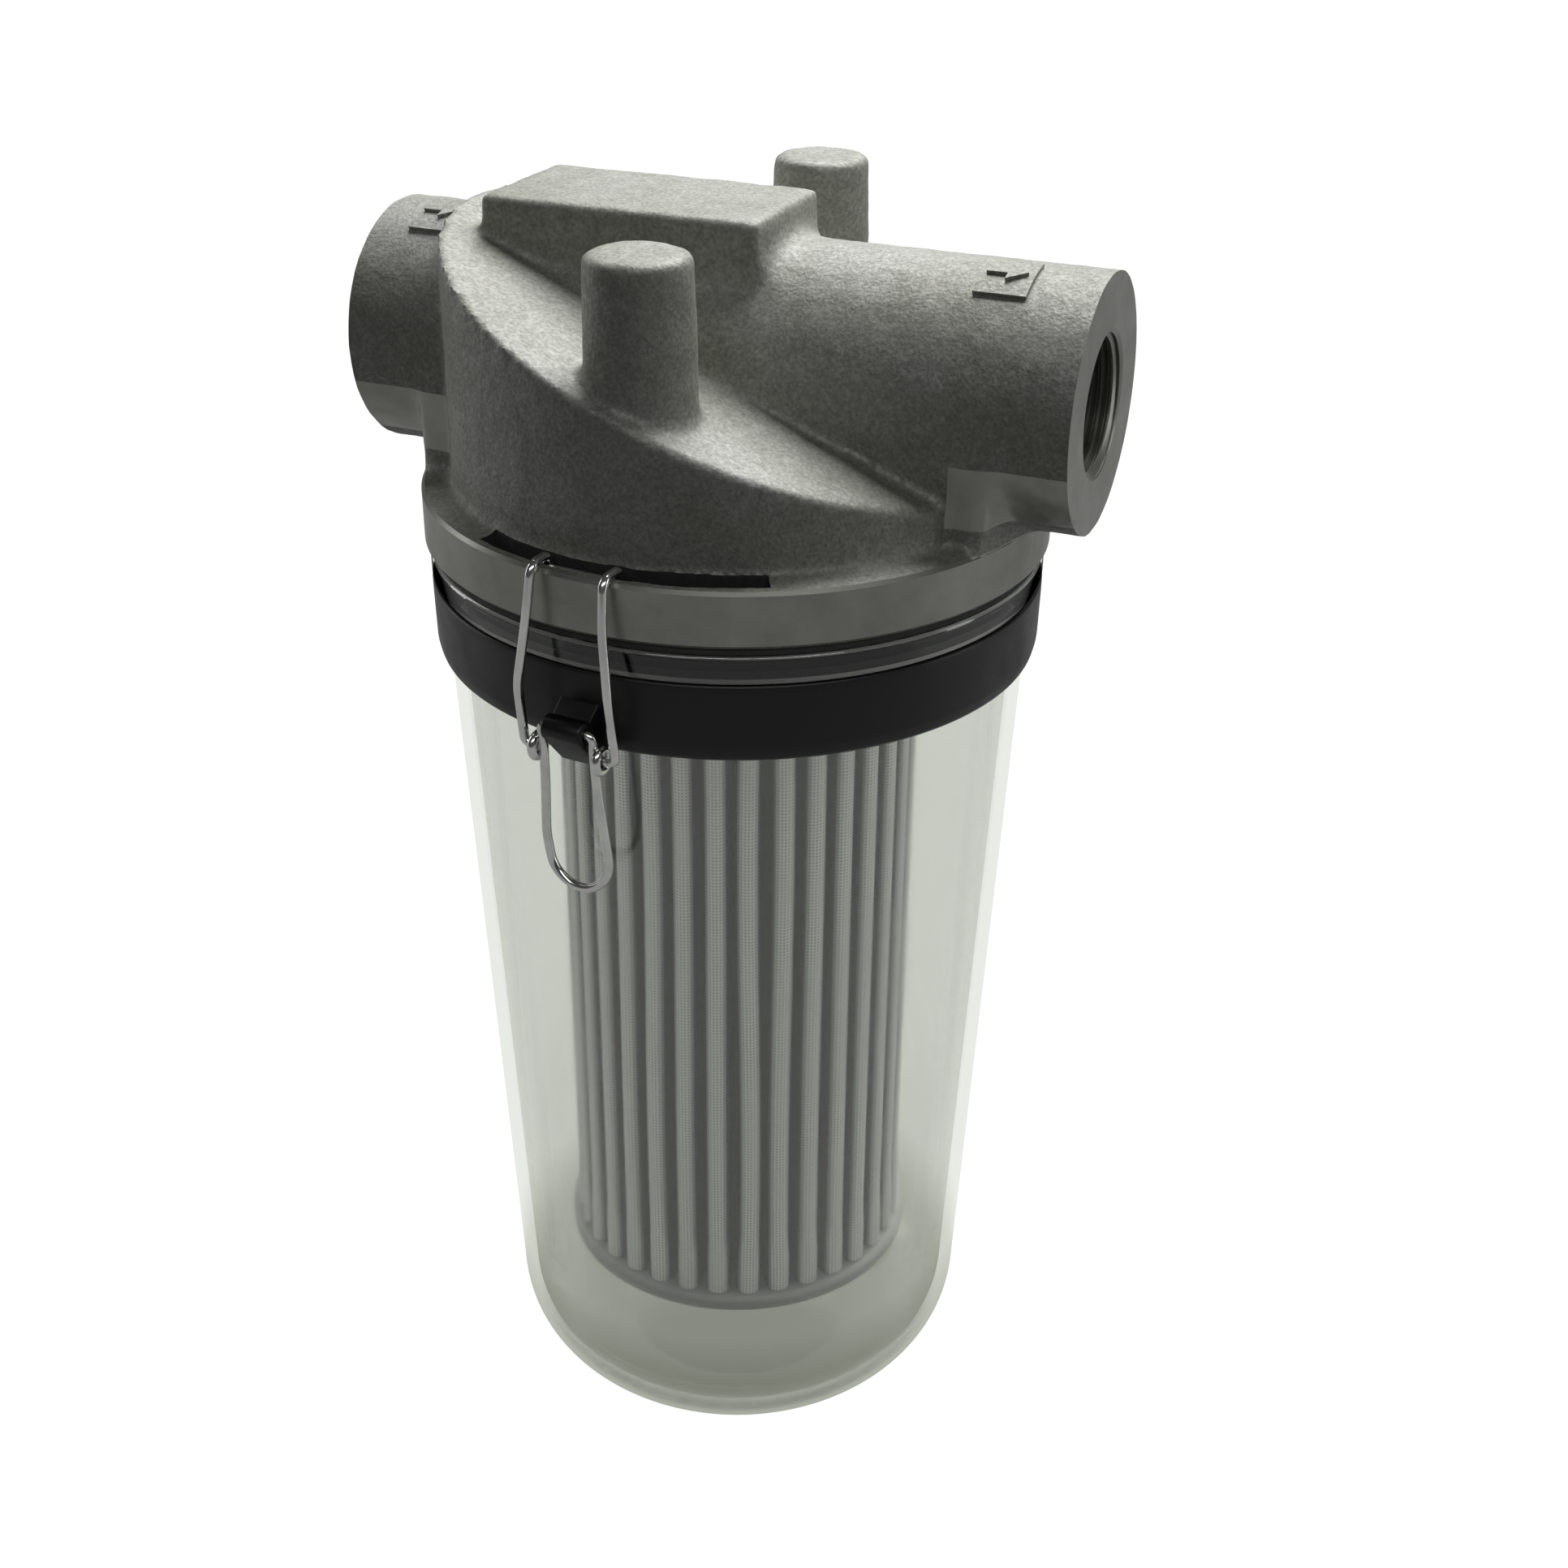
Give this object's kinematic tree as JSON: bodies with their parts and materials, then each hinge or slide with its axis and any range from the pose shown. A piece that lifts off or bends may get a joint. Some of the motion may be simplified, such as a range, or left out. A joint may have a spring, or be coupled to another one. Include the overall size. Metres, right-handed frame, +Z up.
{
  "type": "in-line water filter",
  "caption": "Cast T-head filter with two threaded ports, a clear bowl held by two wire over-centre clips, a pleated mesh element and a magnetic core.",
  "frame": {"origin": "under the middle of the bowl, at its lowest point", "axes": "+Z up along the bowl's axis, +X along the pipe from the inlet towards the outlet, -Y towards the front clip"},
  "size_m": [0.1766, 0.1672, 0.3322],
  "materials": {
    "cast_head": "sand cast, machined port faces and flange edge",
    "seal": "matt moulded rubber",
    "clear_bowl": "clear moulded polycarbonate",
    "ring": "black moulded glass-filled nylon",
    "spring_wire": "bright drawn stainless wire",
    "end_cap": "grey moulded plastic",
    "mesh": "woven stainless mesh, pleated",
    "core_tube": "rolled stainless tube",
    "nylon": "black moulded nylon",
    "magnet": "nickel plated",
    "pole_steel": "turned mild steel"
  },
  "bodies": {
    "head": {"head_casting": "cast_head", "head_gasket": "seal"},
    "bowl_unit": {"bowl": "clear_bowl", "retaining_ring": "ring"},
    "element": {"element_top_cap": "end_cap", "element_gasket": "seal", "element_media": "mesh", "element_core": "core_tube", "element_bottom_cap": "end_cap", "magnet_sleeve": "core_tube", "magnet_plug_bottom": "nylon", "magnet_1": "magnet", "magnet_2": "magnet", "magnet_3": "magnet", "magnet_4": "magnet", "magnet_5": "magnet", "magnet_6": "magnet", "pole_plate_1": "pole_steel", "pole_plate_2": "pole_steel", "pole_plate_3": "pole_steel", "pole_plate_4": "pole_steel", "pole_plate_5": "pole_steel", "magnet_plug_top": "nylon", "rod_spider": "nylon"},
    "front_lever": {"lever_front": "spring_wire"},
    "front_bail": {"bail_front": "spring_wire"},
    "rear_lever": {"lever_rear": "spring_wire"},
    "rear_bail": {"bail_rear": "spring_wire"}
  },
  "joints": [
    {"name": "bowl_drop", "type": "slide", "parent": "head", "child": "bowl_unit", "axis": [0, 0, -1], "range_m": [0, 0.24]},
    {"name": "element_pull", "type": "slide", "parent": "head", "child": "element", "axis": [0, 0, -1], "range_m": [0, 0.015]},
    {"name": "front_lever_turn", "type": "hinge", "parent": "bowl_unit", "child": "front_lever", "pos_m": [-0.00702, -0.08019, 0.232], "axis": [-0.9962, 0.0872, 0], "range_deg": [0, 150]},
    {"name": "front_bail_turn", "type": "hinge", "parent": "front_lever", "child": "front_bail", "pos_m": [-0.00692, -0.0791, 0.226], "axis": [-0.9962, 0.0872, 0], "range_deg": [-187.5, 0]},
    {"name": "rear_lever_turn", "type": "hinge", "parent": "bowl_unit", "child": "rear_lever", "pos_m": [0.00702, 0.08019, 0.232], "axis": [0.9962, -0.0872, 0], "range_deg": [0, 150]},
    {"name": "rear_bail_turn", "type": "hinge", "parent": "rear_lever", "child": "rear_bail", "pos_m": [0.00692, 0.0791, 0.226], "axis": [0.9962, -0.0872, 0], "range_deg": [-187.5, 0]}
  ],
  "couplings": [
    {"joint": "front_bail_turn", "follows": "front_lever_turn", "ratio": -1.25},
    {"joint": "rear_bail_turn", "follows": "rear_lever_turn", "ratio": -1.25}
  ]
}
